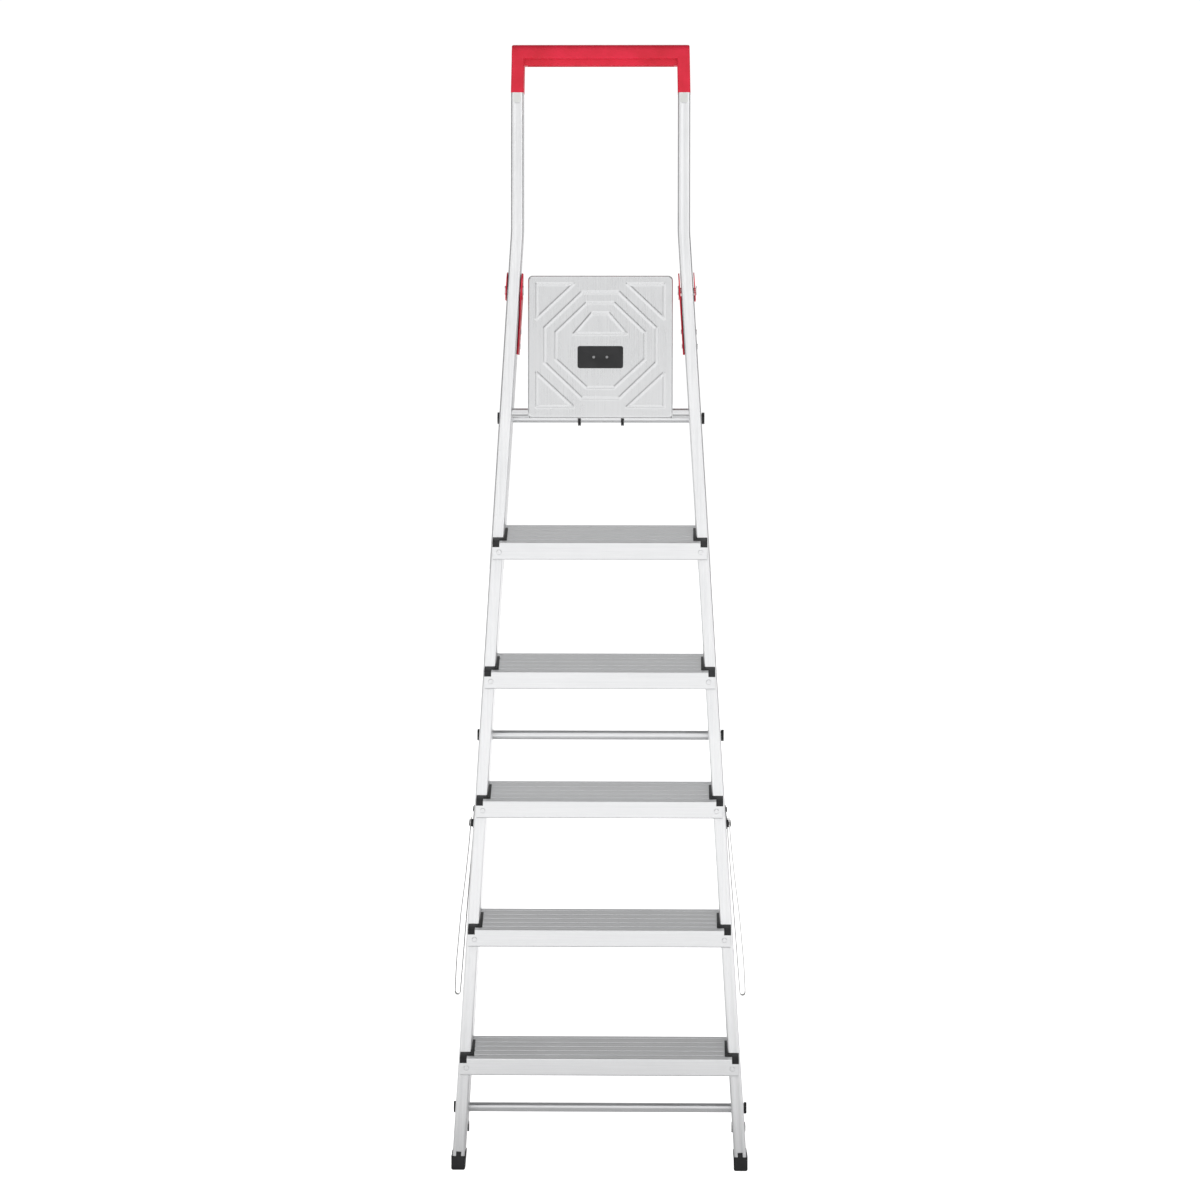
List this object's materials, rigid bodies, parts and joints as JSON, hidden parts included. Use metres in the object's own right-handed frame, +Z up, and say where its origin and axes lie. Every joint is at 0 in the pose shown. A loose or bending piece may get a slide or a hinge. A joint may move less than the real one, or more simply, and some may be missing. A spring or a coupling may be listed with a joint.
{
  "type": "step ladder",
  "caption": "Folding platform step ladder: tapered tubular front rails with ribbed treads, a tip-up platform, a hinged rear frame, webbing spreaders and a moulded handle",
  "frame": {"origin": "on the floor, under the middle of the folded ladder's box", "axes": "+Z up along the standing ladder, -Y towards the climber, +X to the climber's right as they face the ladder"},
  "size_m": [0.5304, 0.1122, 2.006],
  "materials": {
    "rail_aluminium": "drawn, satin",
    "tread_aluminium": "extruded, satin",
    "platform_aluminium": "pressed sheet, satin",
    "tube_aluminium": "drawn, satin",
    "steel": "zinc plated",
    "red_plastic": "moulded, fine texture",
    "black_plastic": "moulded, fine texture",
    "pale_plastic": "moulded",
    "webbing": "woven polyester webbing"
  },
  "bodies": {
    "front_frame": {"left_front_rail": "rail_aluminium", "right_front_rail": "rail_aluminium", "tread_1": "tread_aluminium", "tread_2": "tread_aluminium", "tread_3": "tread_aluminium", "tread_4": "tread_aluminium", "tread_5": "tread_aluminium", "tread_1_left_cap": "black_plastic", "tread_1_right_cap": "black_plastic", "tread_2_left_cap": "black_plastic", "tread_2_right_cap": "black_plastic", "tread_3_left_cap": "black_plastic", "tread_3_right_cap": "black_plastic", "tread_4_left_cap": "black_plastic", "tread_4_right_cap": "black_plastic", "tread_5_left_cap": "black_plastic", "tread_5_right_cap": "black_plastic", "tread_rivets": "steel", "left_front_foot": "black_plastic", "right_front_foot": "black_plastic", "handle_grip": "red_plastic", "handle_locking_clips": "pale_plastic", "platform_axle": "steel", "hinge_pins": "steel", "left_front_strap_anchor": "black_plastic", "right_front_strap_anchor": "black_plastic"},
    "rear_frame": {"left_rear_leg": "rail_aluminium", "right_rear_leg": "rail_aluminium", "left_hinge_bracket": "red_plastic", "right_hinge_bracket": "red_plastic", "upper_crossbar": "tube_aluminium", "middle_crossbar": "tube_aluminium", "lower_crossbar": "tube_aluminium", "upper_crossbar_caps": "black_plastic", "middle_crossbar_caps": "black_plastic", "lower_crossbar_caps": "black_plastic", "left_rear_foot": "black_plastic", "right_rear_foot": "black_plastic", "crossbar_catch": "black_plastic", "bracket_rivets": "steel", "left_rear_strap_anchor": "black_plastic", "right_rear_strap_anchor": "black_plastic"},
    "platform": {"platform_plate": "platform_aluminium", "left_axle_bush": "black_plastic", "right_axle_bush": "black_plastic", "platform_insert": "black_plastic", "platform_latch": "black_plastic", "platform_rivets": "steel"},
    "left_strap_front": {"left_strap_front": "webbing"},
    "left_strap_rear": {"left_strap_rear": "webbing", "left_strap_rivet": "steel"},
    "right_strap_front": {"right_strap_front": "webbing"},
    "right_strap_rear": {"right_strap_rear": "webbing", "right_strap_rivet": "steel"}
  },
  "joints": [
    {"name": "rear_frame_hinge", "type": "hinge", "parent": "front_frame", "child": "rear_frame", "pos_m": [0, -0.01, 1.5715], "axis": [1, 0, 0], "range_deg": [0, 36]},
    {"name": "platform_hinge", "type": "hinge", "parent": "front_frame", "child": "platform", "pos_m": [0, -0.023, 1.3545], "axis": [-1, 0, 0], "range_deg": [0, 68]},
    {"name": "left_strap_front_swing", "type": "hinge", "parent": "front_frame", "child": "left_strap_front", "pos_m": [-0.22942, -0.01, 0.621], "axis": [0.9967, 0.0266, -0.0761], "range_deg": [-2, 108.1]},
    {"name": "left_strap_rear_swing", "type": "hinge", "parent": "left_strap_front", "child": "left_strap_rear", "pos_m": [-0.254, 0.013, 0.3071], "axis": [-0.9969, 0, 0.0781], "range_deg": [-2, 174.6]},
    {"name": "right_strap_front_swing", "type": "hinge", "parent": "front_frame", "child": "right_strap_front", "pos_m": [0.22942, -0.01, 0.621], "axis": [0.9967, -0.0266, 0.0761], "range_deg": [-2, 108.1]},
    {"name": "right_strap_rear_swing", "type": "hinge", "parent": "right_strap_front", "child": "right_strap_rear", "pos_m": [0.254, 0.013, 0.3071], "axis": [-0.9969, 0, -0.0781], "range_deg": [-2, 174.6]}
  ],
  "couplings": [
    {"joint": "left_strap_front_swing", "follows": "rear_frame_hinge", "ratio": 2.9181},
    {"joint": "left_strap_rear_swing", "follows": "rear_frame_hinge", "ratio": 4.7679},
    {"joint": "right_strap_front_swing", "follows": "rear_frame_hinge", "ratio": 2.9181},
    {"joint": "right_strap_rear_swing", "follows": "rear_frame_hinge", "ratio": 4.7679}
  ]
}
